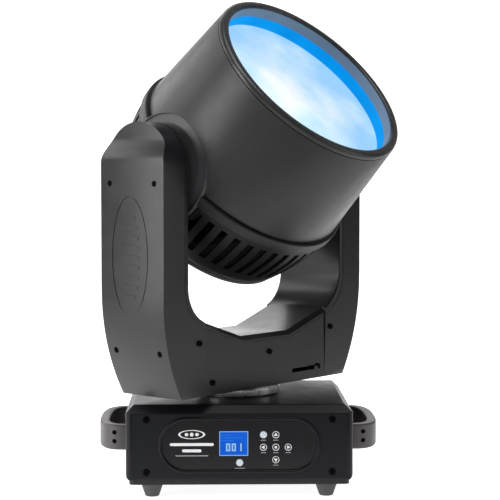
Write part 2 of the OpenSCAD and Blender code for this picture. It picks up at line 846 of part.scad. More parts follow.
base_plate();
base_shell();
front_cover();
rear_cover();
control_panel();
display();
display_board();
mode_button();
up_button();
left_button();
enter_button();
right_button();
down_button();
display_button();
rubber_feet();
handle_left();
handle_right();
base_screws();
power_supply();
main_board();
pan_motor();
pan_motor_pulley();
pan_belt();
pan_bearing();
power_sockets();
data_sockets();
yoke_turret();
pan_pulley();
yoke_frame();
arm_shell_left();
arm_shell_right();
arm_cover_left();
arm_cover_right();
bridge_front_cover();
bridge_rear_cover();
yoke_screws();
tilt_motor();
tilt_motor_pulley();
tilt_belt();
tilt_bearings();
pan_lock();
tilt_lock();
head_frame();
barrel();
front_bezel();
light_ring();
fresnel_lens();
zoom_carriage();
zoom_lens();
guide_rods();
zoom_screw();
zoom_motor();
led_engine();
heat_sink();
rear_basket();
rear_cap();
fan_frame();
fan_rotor();
tilt_hubs();
tilt_pulley();
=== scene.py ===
"""Moving head wash light: meshes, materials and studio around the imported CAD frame.

Shapes are written in millimetres in three local frames and placed once. BASE is the shared frame. YOKE is
turned about Z until its X is along the tilt axis. HEAD starts in the middle of the tilt axis, which is its X,
and its Z is the beam.
"""
import json
import math

import bmesh
import bpy
from mathutils import Matrix, Vector


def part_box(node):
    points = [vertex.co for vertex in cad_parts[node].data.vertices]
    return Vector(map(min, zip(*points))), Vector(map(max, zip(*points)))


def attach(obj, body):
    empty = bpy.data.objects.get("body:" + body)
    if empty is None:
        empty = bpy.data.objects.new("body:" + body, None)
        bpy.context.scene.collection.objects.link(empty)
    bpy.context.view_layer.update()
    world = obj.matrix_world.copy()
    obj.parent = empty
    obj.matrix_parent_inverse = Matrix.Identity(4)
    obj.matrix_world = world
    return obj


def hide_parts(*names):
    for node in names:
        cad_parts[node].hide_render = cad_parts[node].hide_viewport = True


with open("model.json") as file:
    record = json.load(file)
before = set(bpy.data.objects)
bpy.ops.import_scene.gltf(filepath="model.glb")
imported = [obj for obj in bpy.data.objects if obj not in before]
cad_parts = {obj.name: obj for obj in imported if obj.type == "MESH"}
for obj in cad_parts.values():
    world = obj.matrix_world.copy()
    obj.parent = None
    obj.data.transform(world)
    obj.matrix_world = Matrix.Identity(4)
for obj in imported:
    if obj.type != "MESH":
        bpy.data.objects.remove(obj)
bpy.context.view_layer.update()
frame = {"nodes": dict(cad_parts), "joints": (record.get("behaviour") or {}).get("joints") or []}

SCENE = bpy.context.scene
MM = 0.001
JOINTS = {j["name"]: j for j in frame["joints"]}
TILT_AXIS = Vector(JOINTS["tilt"]["axis"]).normalized()
BEAM = Vector(JOINTS["zoom"]["axis"]).normalized()
TILT_AT = Vector(JOINTS["tilt"]["pos_m"])
TILT_Z = TILT_AT.z / MM
FLOOR_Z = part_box("rubber_feet")[0].z


def local_frame(x, z, at):
    """Matrix of a frame with these X and Z directions at a point."""
    turn = Matrix((x, z.cross(x), z)).transposed().to_4x4()
    return Matrix.Translation(at) @ turn


BASE = Matrix.Identity(4)
YOKE = local_frame(TILT_AXIS, Vector((0, 0, 1)), Vector((0, 0, 0)))
HEAD = local_frame(TILT_AXIS, BEAM, TILT_AT)


def box_mm(node):
    """Low and high corner of a CAD node."""
    return [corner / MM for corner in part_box(node)]


# ---------------- sizes in millimetres
WALL = 3

# Base: half width and half depth of the case, seams at -SEAM_Y and SEAM_Y.
BEAD_W, BEAD_H = 4.5, 2
BASE_LO, BASE_HI = box_mm("base_shell")
HALF_W = BASE_HI.x
HALF_D = -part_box("front_cover")[0].y / MM - BEAD_H
BASE_TOP, SKIRT_Z = BASE_HI.z, BASE_LO.z
SEAM_Y = BASE_HI.y
TOP_BEVEL = 9.5
SPINDLE_HOLE = 47
CASE_SCREW_X, CASE_SCREW_Z = 110, (78.5, 15.8)
CASE_SCREW_R, CASE_SCREW_SINK = 4.7, 1.2
SOCKET_X, SOCKET_Z, SOCKET_R = (-104, -66, 66, 104), 56, 12.8
GRIP_T = 12

# Control panel, set back from the front of the case.
PANEL_Z = 47.7
PANEL_W, PANEL_H = 96.5, 33.9
PANEL_FACE, SCREEN_FACE = HALF_D - 1.5, HALF_D - 1.9
WINDOW_X, WINDOW_Z = (-24, 10.4), (34.7, 64.1)
MARKS_X, EMBLEM_Z = -56.5, 60.4

# Yoke: the covers curve in below BELLY_Z and at the shoulder, and the inner corner is an arc. PAST_Y and
# PAST_X lie beyond the arms.
YOKE_HALF = 188.6
YOKE_GAP = 145
ARM_HALF = 50.1
YOKE_Z = 106.5
ARM_TOP = TILT_Z + 52.8
BELLY_R, BELLY_Z = 232, 226
SHOULDER_LOW, SHOULDER_HIGH, SHOULDER_IN = 384, 411, 11
LIP_T = 1.2
RIM_W, RIM_LINE = 7.2, 0.7
SEAM_X = 116.5
CORNER_R, CORNER_X, CORNER_Z, CORNER_END = 46, 99, 238, 72
BRIDGE_Z, BRIDGE_FLAT, BRIDGE_HALF = 172, 45, 47.2
BRIDGE_CHAMFER = 5.2
BRIDGE_SCREWS, BRIDGE_SCREW_R = ((4.5, 149.1), (102, 121.5), (-102, 121.5)), 3.5
COVER_T = 3
COVER_SCREWS, COVER_SCREW_R, COVER_SINK = ((35.5, 357.5), (35, 161.5)), 3.6, 2.2
HUB_HOLE, NECK_HOLE = 39, 41
BADGE_Y, BADGE_Z, BADGE_HALF = 3, 272.5, (29, 70.7)
PAN_LOCK_SLOT = ((50, -60, 118), (99, -40, 123))
TILT_LOCK_SLOT = ((161.5, 44, 297), (166.5, 56, 336))
PAST_Y, PAST_X = 70, 220

# Head: _R is a radius and _L a length along the beam, from the tilt axis.
BARREL_R, RIM_R, MOUTH_R, COLLAR_R = 141, 129.5, 118.8, 145.6
BARREL_L, BEZEL_L, RIM_L = 18.4, 152, 159.2
COLLAR_L = (4.4, 17.9)
PAD_R, PAD_X, PAD_IN = 65, 132, 104
LENS_L, LENS_T, LENS_R = 121.6, 6, 126
REAR_L, REAR_R, SHOULDER_R = -77.8, 123.4, 143


# ---------------- mesh tools
def arc(cx, cy, r, start, end, steps):
    """Points along an arc, in degrees."""
    turns = [math.radians(start + (end - start) * i / steps) for i in range(steps + 1)]
    return [(cx + r * math.cos(t), cy + r * math.sin(t)) for t in turns]


def rounded(corners, steps=6):
    """A closed outline from (a, b, radius) corners, each corner rounded by its radius."""
    points = []
    for i, (a, b, r) in enumerate(corners):
        here = Vector((a, b))
        before = (Vector(corners[i - 1][:2]) - here).normalized()
        after = (Vector(corners[(i + 1) % len(corners)][:2]) - here).normalized()
        if r <= 0:
            points.append((a, b))
            continue
        half = before.angle(after) / 2
        centre = here + (before + after).normalized() * r / math.sin(half)
        start = here + before * r / math.tan(half) - centre
        end = here + after * r / math.tan(half) - centre
        sweep = math.atan2(start.x * end.y - start.y * end.x, start.dot(end))
        for k in range(steps + 1):
            t = sweep * k / steps
            points.append((centre.x + start.x * math.cos(t) - start.y * math.sin(t),
                           centre.y + start.x * math.sin(t) + start.y * math.cos(t)))
    return points


def build(vertices, faces):
    """A mesh from points and faces, as they are."""
    mesh = bpy.data.meshes.new("part")
    mesh.from_pydata([Vector(v) for v in vertices], [], faces)
    mesh.validate()
    return mesh


def tidy(mesh, merge=0.001, flat_deg=0.15):
    """Welds points that meet, joins faces that are flat together and turns the faces outwards."""
    work = bmesh.new()
    work.from_mesh(mesh)
    bmesh.ops.remove_doubles(work, verts=work.verts, dist=merge)
    bmesh.ops.dissolve_degenerate(work, edges=work.edges, dist=merge)
    if flat_deg:
        bmesh.ops.dissolve_limit(work, angle_limit=math.radians(flat_deg), verts=work.verts,
                                 edges=work.edges)
    bmesh.ops.recalc_face_normals(work, faces=work.faces)
    work.to_mesh(mesh)
    work.free()
    return mesh


def lathe(outline, steps=160):
    """Turns a closed outline of (radius, height) points about Z."""
    count = len(outline)
    vertices = []
    for i in range(steps):
        turn = 2 * math.pi * i / steps
        vertices += [(r * math.cos(turn), r * math.sin(turn), z) for r, z in outline]
    faces = []
    for i in range(steps):
        for k in range(count):
            a, b = i * count + k, i * count + (k + 1) % count
            c, d = (i + 1) % steps * count + (k + 1) % count, (i + 1) % steps * count + k
            faces.append((a, b, c, d))
    return tidy(build(vertices, faces), flat_deg=0)


TO_AXIS = {"x": lambda a, b, h: (h, a, b), "y": lambda a, b, h: (a, h, b), "z": lambda a, b, h: (a, b, h)}


def prism(outline, axis, low, high):
    """Extrudes an outline along an axis, from low to high."""
    place = TO_AXIS[axis]
    count = len(outline)
    vertices = [place(a, b, low) for a, b in outline] + [place(a, b, high) for a, b in outline]
    faces = [tuple(range(count)), tuple(range(count, 2 * count))]
    faces += [(i, (i + 1) % count, count + (i + 1) % count, count + i) for i in range(count)]
    return tidy(build(vertices, faces), flat_deg=0)


def loft(outlines, axis, levels):
    """Joins outlines with the same number of points, one at each level along an axis."""
    place = TO_AXIS[axis]
    count = len(outlines[0])
    vertices = [place(a, b, level) for outline, level in zip(outlines, levels) for a, b in outline]
    faces = [tuple(range(count)), tuple(range((len(levels) - 1) * count, len(levels) * count))]
    for row in range(len(levels) - 1):
        low, high = row * count, (row + 1) * count
        faces += [(low + i, low + (i + 1) % count, high + (i + 1) % count, high + i) for i in range(count)]
    return tidy(build(vertices, faces), flat_deg=0)


def block(low, high):
    """A box from its low corner to its high corner."""
    (x0, y0, z0), (x1, y1, z1) = low, high
    return prism([(x0, y0), (x1, y0), (x1, y1), (x0, y1)], "z", z0, z1)


def moved(mesh, matrix):
    """The mesh itself after a matrix, with its faces still outwards after a mirror."""
    mesh.transform(matrix)
    if matrix.determinant() < 0:
        mesh.flip_normals()
    return mesh


def shift(mesh, x=0, y=0, z=0):
    return moved(mesh, Matrix.Translation((x, y, z)))


def turned(mesh, degrees, axis):
    return moved(mesh, Matrix.Rotation(math.radians(degrees), 4, axis))


def rod(axis, radius, low, high, at=(0, 0), steps=48):
    """A round bar along an axis, through a point of the other two axes."""
    ring = [(at[0] + a, at[1] + b) for a, b in arc(0, 0, radius, 0, 360, steps)[:-1]]
    return prism(ring, axis, low, high)


def joined(*meshes):
    """One mesh that holds several, which stay separate shells."""
    work = bmesh.new()
    for mesh in meshes:
        work.from_mesh(mesh)
    result = bpy.data.meshes.new("part")
    work.to_mesh(result)
    work.free()
    return result


def evaluated(mesh, set_up):
    """The mesh after the modifiers that set_up adds to a temporary object."""
    holder = bpy.data.objects.new("holder", mesh)
    SCENE.collection.objects.link(holder)
    helpers = set_up(holder) or []
    graph = bpy.context.evaluated_depsgraph_get()
    result = bpy.data.meshes.new_from_object(holder.evaluated_get(graph))
    for item in [holder] + helpers:
        bpy.data.objects.remove(item)
    return result


def combined(mesh, other, how):
    """The union, difference or intersection of two closed meshes."""
    def set_up(holder):
        tool = bpy.data.objects.new("tool", other)
        SCENE.collection.objects.link(tool)
        change = holder.modifiers.new("combine", "BOOLEAN")
        change.operation = how
        change.solver = "EXACT"
        change.object = tool
        return [tool]
    return tidy(evaluated(mesh, set_up))


def cut(mesh, *tools):
    for tool in tools:
        mesh = combined(mesh, tool, "DIFFERENCE")
    return mesh


def common(mesh, *others):
    for other in others:
        mesh = combined(mesh, other, "INTERSECT")
    return mesh


def soften(mesh, *passes, sharp_deg=28):
    """Rounds sharp edges in passes of (width, segments, rule); rule picks edges by their middle point."""
    for width, segments, rule in passes:
        work = bmesh.new()
        work.from_mesh(mesh)
        layers = work.edges.layers.float
        weights = layers.get("bevel_weight_edge") or layers.new("bevel_weight_edge")
        for edge in work.edges:
            sharp = len(edge.link_faces) == 2 and edge.calc_face_angle(0) > math.radians(sharp_deg)
            middle = (edge.verts[0].co + edge.verts[1].co) / 2
            edge[weights] = 1.0 if sharp and (rule is None or rule(middle)) else 0.0
        for face in work.faces:
            face.smooth = True
        work.to_mesh(mesh)
        work.free()

        def set_up(holder):
            bevel = holder.modifiers.new("bevel", "BEVEL")
            bevel.limit_method = "WEIGHT"
            bevel.width = width
            bevel.segments = segments
            bevel.use_clamp_overlap = rule is None
            bevel.miter_outer = "MITER_ARC"
        mesh = evaluated(mesh, set_up)
    return weigh(mesh)


def weigh(mesh, sharp_deg=50):
    """Lets the larger faces round each point set its shading, so that flat faces look flat."""
    limit = math.cos(math.radians(sharp_deg))
    round_point = [[] for _ in mesh.vertices]
    for face in mesh.polygons:
        face.use_smooth = True
        for index in face.vertices:
            round_point[index].append((face.normal.copy(), face.area))
    normals = []
    for face in mesh.polygons:
        for index in face.vertices:
            total = Vector((0, 0, 0))
            for normal, area in round_point[index]:
                if normal.dot(face.normal) > limit:
                    total += normal * area
            normals.append(total.normalized())
    mesh.normals_split_custom_set(normals)
    return mesh


def smooth(mesh, sharp_deg=35):
    """Shades the mesh smooth, except over edges sharper than sharp_deg."""
    for face in mesh.polygons:
        face.use_smooth = True
    mesh.set_sharp_from_angle(angle=math.radians(sharp_deg))
    return mesh


def piece(name, mesh, body, finish, *stands_for):
    """Places a mesh made in millimetres on its body with its finish, and hides the CAD nodes it stands for.
    """
    place = {"yoke": YOKE, "head": HEAD}.get(body, BASE)
    mesh.transform(place @ Matrix.Scale(MM, 4))
    mesh.name = name
    thing = bpy.data.objects.new(name, mesh)
    SCENE.collection.objects.link(thing)
    mesh.materials.clear()
    mesh.materials.append(MATERIALS[finish])
    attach(thing, body)
    if stands_for:
        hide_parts(*stands_for)


# ---------------- materials
class Nodes:
    """Short names for building nodes, in a new material or in one that has some already."""

    def __init__(self, material=None):
        self.material = material or bpy.data.materials.new("finish")
        self.material.use_nodes = True
        self.tree = self.material.node_tree
        self.shader = self.tree.nodes["Principled BSDF"]
        self.place = self.add("TexCoord").outputs["Object"]

    def add(self, kind, **settings):
        node = self.tree.nodes.new("ShaderNode" + kind)
        for key, value in settings.items():
            setattr(node, key, value)
        return node

    def link(self, source, target):
        self.tree.links.new(source, target)

    def set(self, **values):
        for key, value in values.items():
            self.shader.inputs[key.replace("_", " ")].default_value = value

    def noise(self, scale, detail, roughness):
        node = self.add("TexNoise")
        node.inputs["Scale"].default_value = scale
        node.inputs["Detail"].default_value = detail
        node.inputs["Roughness"].default_value = roughness
        self.link(self.place, node.inputs["Vector"])
        return node.outputs["Fac"]

    def ramp(self, value, stops):
        node = self.add("ValToRGB")
        while len(node.color_ramp.elements) < len(stops):
            node.color_ramp.elements.new(0.5)
        for element, (position, colour) in zip(node.color_ramp.elements, stops):
            element.position = position
            element.color = (*colour, 1)
        self.link(value, node.inputs["Fac"])
        return node.outputs["Color"]

    def mapped(self, value, low, high, start, end):
        """Turns low to high into start to end, and stays there beyond them."""
        node = self.add("MapRange")
        for name, number in (("From Min", low), ("From Max", high), ("To Min", start), ("To Max", end)):
            node.inputs[name].default_value = number
        self.link(value, node.inputs["Value"])
        return node.outputs["Result"]

    def math(self, operation, *values):
        node = self.add("Math", operation=operation)
        for socket, value in zip(node.inputs, values):
            if isinstance(value, float):
                socket.default_value = value
            else:
                self.link(value, socket)
        return node.outputs[0]

    def bump(self, height, distance):
        node = self.add("Bump")
        node.inputs["Strength"].default_value = 1.0
        node.inputs["Distance"].default_value = distance
        self.link(height, node.inputs["Height"])
        return node.outputs["Normal"]


def scaled(colour, share):
    return tuple(min(1.0, c * share) for c in colour)


def surface(colour, rough, texture, microns, vary=0.12, patches=14, metal=0.0, shine=0.5, **extra):
    """A moulded, painted or metal surface with fine texture, uneven gloss and slight colour variation.

    texture is the scale of the fine bumps, microns their depth and patches the scale of the unevenness.
    """
    n = Nodes()
    sockets = n.shader.inputs
    tones = [(0.3, scaled(colour, 1 - vary)), (0.7, scaled(colour, 1 + vary))]
    n.link(n.ramp(n.noise(patches, 4, 0.6), tones), sockets["Base Color"])
    gloss = n.mapped(n.noise(patches * 3.1, 5, 0.65), 0.3, 0.7, rough - 0.04, rough + 0.05)
    n.link(gloss, sockets["Roughness"])
    n.link(n.bump(n.noise(texture, 2, 0.5), microns * 1e-6), sockets["Normal"])
    n.set(Metallic=metal, Specular_IOR_Level=shine, **extra)
    return n.material


def crowned(material, across, half, rise):
    """Tilts a material's normals as if its face bulged by rise in the middle, half from each edge."""
    n = Nodes(material)
    reach = n.add("VectorMath", operation="DOT_PRODUCT")
    reach.inputs[1].default_value = across
    n.link(n.place, reach.inputs[0])
    square = n.math("MULTIPLY", reach.outputs["Value"], reach.outputs["Value"])
    fine = n.shader.inputs["Normal"].links[0].from_node
    bulge = n.bump(square, rise / half ** 2)
    bulge.node.invert = True
    n.link(bulge, fine.inputs["Normal"])


def brushed(colour, rough, stretch=(40, 40, 1200)):
    """A machined or brushed metal with fine lines along one direction."""
    n = Nodes()
    mapping = n.add("Mapping")
    mapping.inputs["Scale"].default_value = stretch
    n.link(n.place, mapping.inputs["Vector"])
    lines = n.add("TexNoise")
    lines.inputs["Scale"].default_value = 1.0
    lines.inputs["Detail"].default_value = 4
    n.link(mapping.outputs["Vector"], lines.inputs["Vector"])
    fac, sockets = lines.outputs["Fac"], n.shader.inputs
    n.link(n.ramp(fac, [(0.3, scaled(colour, 0.85)), (0.7, scaled(colour, 1.1))]), sockets["Base Color"])
    n.link(n.mapped(fac, 0.3, 0.7, rough - 0.06, rough + 0.08), sockets["Roughness"])
    n.link(n.bump(fac, 0.00001), sockets["Normal"])
    n.set(Metallic=1.0)
    return n.material


def glowing(stops, strength, scale):
    """A lit surface whose glow varies softly."""
    n = Nodes()
    n.link(n.ramp(n.noise(scale, 3, 0.5), stops), n.shader.inputs["Emission Color"])
    n.set(Base_Color=(0.003, 0.01, 0.02, 1), Emission_Strength=strength, Roughness=0.4,
          Specular_IOR_Level=0.05)
    return n.material


MATERIALS = {
    "base_plastic": surface((0.007, 0.0075, 0.009), 0.34, 700, 10, shine=0.18),
    "yoke_plastic": surface((0.014, 0.0145, 0.016), 0.31, 1100, 20, shine=0.25, Coat_Weight=0.4,
                            Coat_Roughness=0.22),
    "cover_plastic": surface((0.026, 0.026, 0.028), 0.34, 1100, 20, shine=0.4),
    "barrel_plastic": surface((0.02, 0.02, 0.022), 0.36, 1000, 20, shine=0.35),
    # Painted light: the pads are the barrel's dark plastic, made lighter to stand for the light that falls on
    # them between arm and barrel.
    "pad_plastic_painted_light": surface((0.07, 0.07, 0.075), 0.4, 1000, 20),
    "collar_plastic": surface((0.016, 0.0165, 0.018), 0.42, 1000, 20, shine=0.3),
    "basket_plastic": surface((0.007, 0.007, 0.0075), 0.45, 900, 30, shine=0.25),
    # Painted highlight: the dark glossy turret is given a light grey colour to stand for the bright
    # reflection on it.
    "turret_plastic": surface((0.75, 0.75, 0.76), 0.26, 500, 5, 0.1, 14, 0.5),
    "handle_plastic": surface((0.075, 0.068, 0.068), 0.45, 800, 30),
    "lever_plastic": surface((0.01, 0.01, 0.01), 0.4, 900, 20),
    "panel_gloss": surface((0.006, 0.006, 0.0075), 0.2, 60, 2, 0.1, 9, shine=0.25),
    "dark_button": surface((0.012, 0.012, 0.014), 0.2, 200, 4),
    "white_button": surface((0.62, 0.7, 0.74), 0.3, 300, 5, 0.05),
    "ink_white": surface((0.85, 0.86, 0.87), 0.45, 600, 4, 0.03),
    "ink_grey": surface((0.32, 0.33, 0.34), 0.5, 600, 4, 0.05),
    "foot_rubber": surface((0.045, 0.045, 0.047), 0.6, 1500, 50),
    "belt_rubber": surface((0.01, 0.01, 0.01), 0.7, 1500, 50),
    # Black screws, made darker still and almost without shine: painted shade in the screw recesses.
    "black_screw_painted_shade": surface((0.002, 0.002, 0.003), 0.45, 1500, 10, 0.2, 120, shine=0.03),
    # Painted highlight: the bezel is made lighter than the barrel to stand for the bright edge on its rim.
    "bezel_plastic_painted_highlight": surface((0.03, 0.03, 0.031), 0.28, 1000, 20),
    "liner_plastic": surface((0.25, 0.3, 0.37), 0.4, 1000, 20),
    "plate_steel": surface((0.008, 0.008, 0.009), 0.45, 1800, 20, 0.1, 20, 0.2),
    "frame_steel": brushed((0.5, 0.5, 0.52), 0.35),
    "sheet_metal": brushed((0.62, 0.62, 0.64), 0.38),
    "motor_steel": surface((0.03, 0.03, 0.033), 0.4, 900, 20, 0.1, 20, 0.5),
    "bearing_steel": brushed((0.55, 0.56, 0.58), 0.25, (900, 900, 60)),
    "bright_steel": brushed((0.7, 0.7, 0.72), 0.15, (900, 900, 60)),
    "alloy": brushed((0.6, 0.61, 0.63), 0.32, (700, 700, 90)),
    "sink_black": surface((0.01, 0.01, 0.011), 0.5, 900, 20, 0.1, 20, 0.3),
    "hub_alloy": surface((0.07, 0.07, 0.075), 0.35, 700, 10, 0.1, 30, 0.6),
    "cap_metal": surface((0.16, 0.155, 0.155), 0.42, 800, 20, 0.1, 16, 0.3),
    "led_copper": brushed((0.7, 0.36, 0.18), 0.3),
    "circuit": surface((0.01, 0.09, 0.04), 0.35, 400, 40, 0.25, 300),
    "socket_blue": surface((0.01, 0.03, 0.16), 0.3, 700, 10),
    "socket_nickel": surface((0.22, 0.22, 0.23), 0.3, 900, 10, 0.1, 30, 0.9),
    "fan_plastic": surface((0.008, 0.008, 0.008), 0.45, 900, 20),
    "ring_glow": glowing([(0.3, (0.0, 0.19, 0.62)), (0.6, (0.0, 0.35, 0.96))], 1.0, 7),
    "lcd_glow": glowing([(0.3, (0.004, 0.09, 0.62)), (0.7, (0.006, 0.13, 0.78))], 0.9, 30),
    "lcd_light": glowing([(0.3, (0.35, 0.66, 0.95)), (0.7, (0.45, 0.74, 1.0))], 0.8, 30),
    "lcd_faint": glowing([(0.3, (0.02, 0.2, 0.8)), (0.7, (0.03, 0.24, 0.9))], 0.8, 30),
}


def lens_material():
    """Lit Fresnel glass: a white glow near the middle that turns blue outwards, with soft clouds."""
    n = Nodes()
    away = n.add("VectorMath", operation="DISTANCE")
    away.inputs[1].default_value = HEAD @ Vector((0.0, 0.012, (LENS_L + LENS_T) * MM))
    n.link(n.place, away.inputs[0])
    glow = n.mapped(away.outputs["Value"], 0.0, 0.11, 0.46, -0.06)
    cloudy = n.math("MULTIPLY_ADD", n.noise(15, 5, 0.5), 0.9, glow)
    stops = [(0.38, (0.33, 0.64, 1.0)), (0.66, (0.62, 0.83, 0.99)), (0.9, (0.95, 0.98, 1.0))]
    n.link(n.ramp(cloudy, stops), n.shader.inputs["Emission Color"])
    n.link(n.mapped(n.noise(40, 2, 0.55), 0.3, 0.7, 0.2, 0.32), n.shader.inputs["Roughness"])
    n.set(Base_Color=(0.05, 0.07, 0.09, 1), Emission_Strength=0.95, Coat_Weight=0.3)
    return n.material


MATERIALS["lens_glass"] = lens_material()
crowned(MATERIALS["cover_plastic"], YOKE.to_3x3().col[1], half=0.05, rise=0.0024)
for title, finish in MATERIALS.items():
    finish.name = title


# ---------------- base
def base_side(inset, half, low_r):
    """Front or side outline of the base: bevelled top edges and rounded bottom corners."""
    edge = half - inset
    bevel = TOP_BEVEL - 0.4 * inset
    low, high = (SKIRT_Z, BASE_TOP) if inset == 0 else (-10, BASE_TOP - inset)
    return rounded([(-edge, low, low_r), (edge, low, low_r), (edge, high - bevel, 3),
                    (edge - bevel, high, 3), (-edge + bevel, high, 3), (-edge, high - bevel, 3)])


def base_solid(inset):
    """The case as one solid, drawn in by inset; with an inset it also reaches below the skirt."""
    corner_r = 8
    plan = rounded([(s * (HALF_W - inset), t * (HALF_D - inset), corner_r - inset)
                    for s, t in ((-1, -1), (1, -1), (1, 1), (-1, 1))])
    low_r = corner_r if inset == 0 else 0
    body = prism(base_side(inset, HALF_W, low_r), "y", -HALF_D - 20, HALF_D + 20)
    return common(body, prism(base_side(inset, HALF_D, low_r / 2), "x", -HALF_W - 20, HALF_W + 20),
                  prism(plan, "z", -30, BASE_TOP + 20))


def obround(half_w, half_h, steps=24):
    """Outline of a bar with round ends."""
    reach = half_w - half_h
    return arc(reach, 0, half_h, -90, 90, steps) + arc(-reach, 0, half_h, 90, 270, steps)


def bead_ring(half_w, half_h, profile):
    """Sweeps a profile of (outwards, forwards) points round an obround on the front cover."""
    path = obround(half_w, half_h, 32)
    reach = half_w - half_h
    vertices = []
    for a, b in path:
        centre = max(-reach, min(reach, a))
        out = Vector((a - centre, b)).normalized()
        vertices += [(a + out.x * o, -HALF_D - f, PANEL_Z + b + out.y * o) for o, f in profile]
    count = len(profile)
    faces = []
    for i in range(len(path)):
        here, following = i * count, (i + 1) % len(path) * count
        faces += [(here + k, here + (k + 1) % count, following + (k + 1) % count, following + k)
                  for k in range(count)]
    return tidy(build(vertices, faces), flat_deg=0)


def panel_window(half_w, half_h, low, high):
    """An obround block at the panel's place."""
    return shift(prism(obround(half_w, half_h), "y", low, high), z=PANEL_Z)


def make_base_case():
    """The middle shell, the front and rear covers, and the raised bead round the panel."""
    skin = cut(base_solid(0), base_solid(WALL))
    big = HALF_W + 50
    middle = common(skin.copy(), block((-big, -SEAM_Y, -50), (big, SEAM_Y, 200)))
    middle = cut(middle, rod("z", SPINDLE_HOLE, BASE_TOP - 10, BASE_TOP + 10, steps=96))
    front = common(skin.copy(), block((-big, -HALF_D - 30, -50), (big, -SEAM_Y, 200)))
    rear = common(skin, block((-big, SEAM_Y, -50), (big, HALF_D + 30, 200)))
    front = cut(front, panel_window(PANEL_W - BEAD_W, PANEL_H - BEAD_W, -HALF_D - 10, -SEAM_Y + 10))
    for side in (-1, 1):
        for height in CASE_SCREW_Z:
            at = (side * CASE_SCREW_X, height)
            front = cut(front, rod("y", CASE_SCREW_R, -HALF_D - 5, -HALF_D + CASE_SCREW_SINK, at))
    for x in SOCKET_X:
        rear = cut(rear, rod("y", SOCKET_R, SEAM_Y - 5, HALF_D + 5, (x, SOCKET_Z)))
    for name, part in (("base_shell", middle), ("front_cover", front), ("rear_cover", rear)):
        piece(name + "_skin", soften(part, (0.7, 3, None)), "base", "base_plastic", name)
    profile = [(0, -1.0), (0.3, 0.8), (1.2, 1.8), (2.4, BEAD_H), (3.6, 1.6), (4.4, 0.7), (4.6, -0.6)]
    ring = bead_ring(PANEL_W - BEAD_W - 0.1, PANEL_H - BEAD_W - 0.1, profile)
    piece("panel_bead", smooth(ring, 60), "base", "base_plastic")


BUTTONS = {"mode_button": "dot", "up_button": "up", "left_button": "left", "enter_button": "square",
           "right_button": "right", "down_button": "down", "display_button": "dot"}


def icon(kind, size):
    """A plain symbol: an arrow head or a square."""
    if kind == "square":
        return [(-size, -size), (size, -size), (size, size), (-size, size)]
    turn = {"up": 90, "left": 180, "right": 0, "down": 270}[kind]
    return arc(0, 0, size * 1.45, turn, turn + 360, 3)[:-1]


def middle_of(button):
    """Middle of a button's round face."""
    low, high = box_mm(button)
    return (low.x + high.x) / 2, low.y, (low.z + high.z) / 2


def make_buttons():
    """Each cap has a stem and a flange behind the panel; the dark ones have a ring and a symbol."""
    outline = [(0, 7.5), (2, 7.5), (2, 6.6), (5.1, 6.6), (5.1, 5.3), (4.2, 5.3), (4.2, 0.6), (3.9, 0.15),
               (3.2, 0), (0, 0)]
    for name, kind in BUTTONS.items():
        x, face, z = middle_of(name)
        cap = shift(turned(lathe(outline, 48), -90, "X"), x, face, z)
        white = kind == "dot"
        piece(name + "_cap", smooth(cap), name, "white_button" if white else "dark_button", name)
        if white:
            continue
        ring = lathe([(3.5, -0.05), (4.15, -0.05), (4.15, 0.65), (3.5, 0.65)], 48)
        mark = prism(icon(kind, 1.35 if kind == "square" else 1.8), "y", -0.06, 0.3)
        art = joined(turned(ring, -90, "X"), mark)
        piece(name + "_symbol", smooth(shift(art, x, face, z)), name, "ink_white")


def bar(x, z, half_w, half_h):
    """A printed bar with round ends on the panel."""
    r = half_h * 0.9
    outline = rounded([(-half_w, -half_h, r), (half_w, -half_h, r), (half_w, half_h, r),
                       (-half_w, half_h, r)], 3)
    return shift(prism(outline, "y", -PANEL_FACE - 0.12, -PANEL_FACE + 0.1), x, 0, z)


def digit(character, height):
    """Strokes of a seven-stroke digit, with its lower left corner at the origin."""
    wide, thick = height * 0.54, height * 0.18
    half = height / 2
    strokes = {"0": "abcdef", "1": "bc"}[character]
    boxes = {"a": (0, height - thick, wide, height), "b": (wide - thick, half, wide, height),
             "c": (wide - thick, 0, wide, half), "d": (0, 0, wide, thick), "e": (0, 0, thick, half),
             "f": (0, half, thick, height)}
    return [boxes[s] for s in strokes]


def make_panel():
    """The glossy plate, open at the display's window and at the buttons."""
    plate = panel_window(PANEL_W - BEAD_W + 0.6, PANEL_H - BEAD_W + 0.6, -PANEL_FACE, -PANEL_FACE + 2.4)
    (x0, x1), (z0, z1) = WINDOW_X, WINDOW_Z
    front, back, hole_r = -HALF_D - 5, -HALF_D + 12, 4.5
    plate = cut(plate, block((x0 - 0.1, front, z0 - 0.1), (x1 + 0.1, back, z1 + 0.1)))
    for name in BUTTONS:
        x, _, z = middle_of(name)
        plate = cut(plate, rod("y", hole_r, front, back, (x, z)))
    piece("control_panel_face", soften(plate, (0.3, 2, None)), "base", "panel_gloss", "control_panel")


